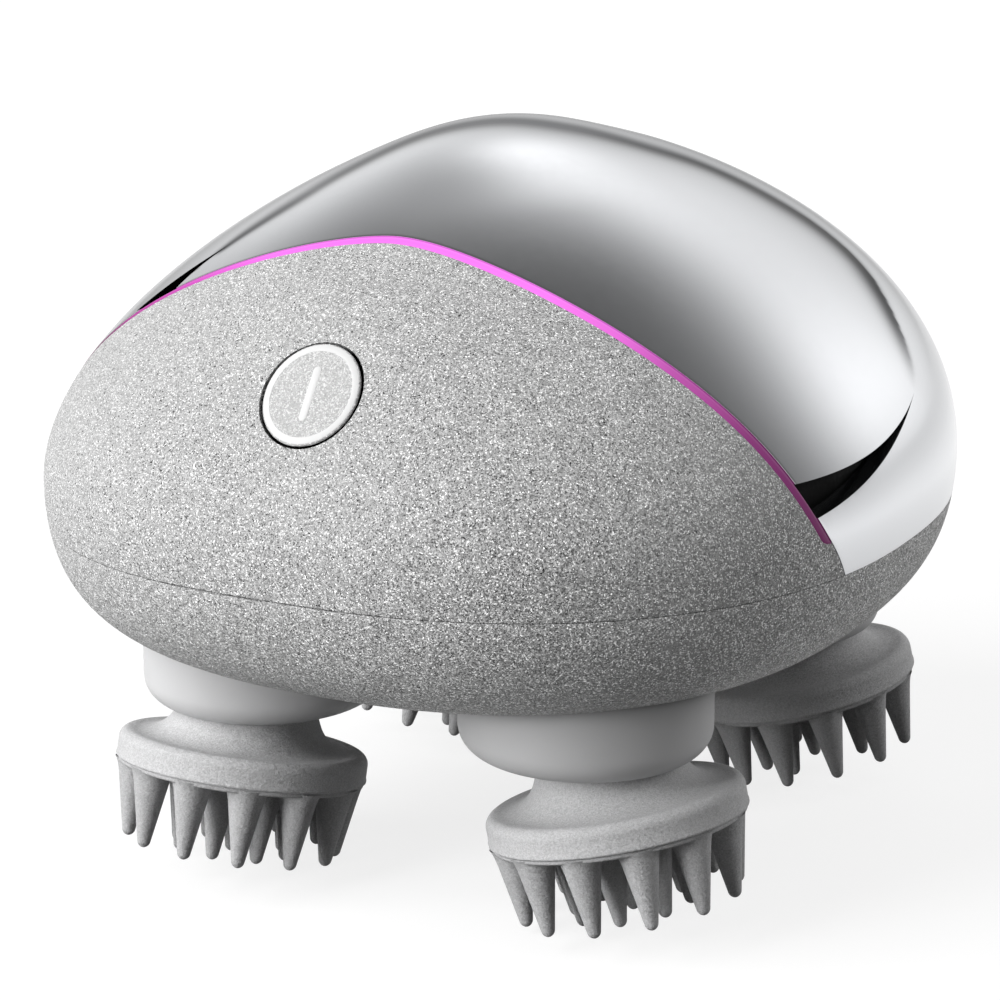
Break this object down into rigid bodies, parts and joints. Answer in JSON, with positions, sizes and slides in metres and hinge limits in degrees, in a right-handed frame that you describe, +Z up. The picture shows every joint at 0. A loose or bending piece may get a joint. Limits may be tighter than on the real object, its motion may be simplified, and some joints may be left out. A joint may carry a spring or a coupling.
{
  "type": "scalp massager",
  "caption": "Electric scalp massager: a pebble-shaped body with an arched light strip, standing on tilted kneading heads with soft fingers that turn together.",
  "frame": {"origin": "on the floor at fingertip level, under the middle of the body", "axes": "+X to the right of the button, +Y from the button to the rear, +Z up"},
  "size_m": [0.105, 0.1172, 0.0898],
  "materials": {
    "speckled_silver": "silver paint with fine bright flakes under clear coat",
    "bright_cover": "bright plated plastic",
    "light_guide": "lit light guide",
    "black_plastic": "fine matt",
    "satin_grey": "satin",
    "head_grey": "sandy matt",
    "silicone": "sandy matt silicone",
    "button_grey": "silver paint with fine flakes",
    "button_white": "gloss",
    "seal_rubber": "matt",
    "steel": "turned",
    "bronze": "sintered",
    "worm_brass": "turned",
    "gear_plastic": "satin",
    "plate_zinc": "sheet",
    "bracket_grey": "satin",
    "board_green": "lacquered",
    "cell_blue": "sleeve",
    "white_plastic": "satin",
    "contact_gold": "plated"
  },
  "bodies": {
    "casing": {"base_casing": "speckled_silver", "inner_shell": "black_plastic", "front_panel": "speckled_silver", "chrome_cover": "bright_cover", "light_strip": "light_guide", "casing_gasket": "seal_rubber", "button_board": "board_green", "tact_switch": "bracket_grey", "gear_plate": "plate_zinc", "plate_screws": "steel", "casing_screws": "steel", "lower_bushes": "bronze", "upper_bushes": "bronze", "shaft_seals": "seal_rubber", "gear_axles": "steel", "worm_bush": "bronze", "drive_bracket": "bracket_grey", "motor_can": "steel", "motor_endcap": "black_plastic", "motor_screws": "steel", "battery_cell": "cell_blue", "battery_cradle": "white_plastic", "main_board": "board_green", "board_screws": "steel", "led_board": "white_plastic", "charge_contacts": "contact_gold"},
    "button": {"button_cap": "button_grey", "button_ring": "button_white", "button_mark": "button_white"},
    "left_drive": {"left_drive_gear": "gear_plastic"},
    "right_drive": {"right_drive_gear": "gear_plastic"},
    "rotor": {"worm": "worm_brass", "motor_shaft": "steel"},
    "head_front_left": {"output_gear_front_left": "gear_plastic", "spindle_front_left": "steel", "drive_hub_front_left": "satin_grey", "massage_head_front_left": "head_grey", "finger_pad_front_left": "silicone"},
    "head_front_right": {"output_gear_front_right": "gear_plastic", "spindle_front_right": "steel", "drive_hub_front_right": "satin_grey", "massage_head_front_right": "head_grey", "finger_pad_front_right": "silicone"},
    "head_rear_right": {"output_gear_rear_right": "gear_plastic", "spindle_rear_right": "steel", "drive_hub_rear_right": "satin_grey", "massage_head_rear_right": "head_grey", "finger_pad_rear_right": "silicone"},
    "head_rear_left": {"output_gear_rear_left": "gear_plastic", "spindle_rear_left": "steel", "drive_hub_rear_left": "satin_grey", "massage_head_rear_left": "head_grey", "finger_pad_rear_left": "silicone"}
  },
  "joints": [
    {"name": "button_press", "type": "slide", "parent": "casing", "child": "button", "axis": [0, 0.7007, -0.7135], "range_m": [0, 0.0008], "stiffness_N_per_m": 1500},
    {"name": "front_left_spin", "type": "hinge", "parent": "casing", "child": "head_front_left", "pos_m": [-0.0216, -0.025, 0.034], "axis": [0, 0, 1], "continuous": true},
    {"name": "front_right_spin", "type": "hinge", "parent": "casing", "child": "head_front_right", "pos_m": [0.0216, -0.025, 0.034], "axis": [0, 0, 1], "continuous": true},
    {"name": "rear_right_spin", "type": "hinge", "parent": "casing", "child": "head_rear_right", "pos_m": [0.0216, 0.0306, 0.034], "axis": [0, 0, 1], "continuous": true},
    {"name": "rear_left_spin", "type": "hinge", "parent": "casing", "child": "head_rear_left", "pos_m": [-0.0216, 0.0306, 0.034], "axis": [0, 0, 1], "continuous": true},
    {"name": "left_drive_spin", "type": "hinge", "parent": "casing", "child": "left_drive", "pos_m": [-0.0155, 0.0028, 0.0436], "axis": [0, 0, 1], "continuous": true},
    {"name": "right_drive_spin", "type": "hinge", "parent": "casing", "child": "right_drive", "pos_m": [0.0155, 0.0028, 0.0436], "axis": [0, 0, 1], "continuous": true},
    {"name": "rotor_spin", "type": "hinge", "parent": "casing", "child": "rotor", "pos_m": [0, 0.0028, 0.0581], "axis": [0, 1, 0], "continuous": true}
  ],
  "couplings": [
    {"joint": "rear_left_spin", "follows": "front_left_spin", "ratio": 1},
    {"joint": "front_right_spin", "follows": "front_left_spin", "ratio": -1},
    {"joint": "rear_right_spin", "follows": "front_left_spin", "ratio": -1},
    {"joint": "left_drive_spin", "follows": "front_left_spin", "ratio": -1.0357},
    {"joint": "right_drive_spin", "follows": "front_left_spin", "ratio": 1.0357},
    {"joint": "rotor_spin", "follows": "front_left_spin", "ratio": 20.714}
  ]
}
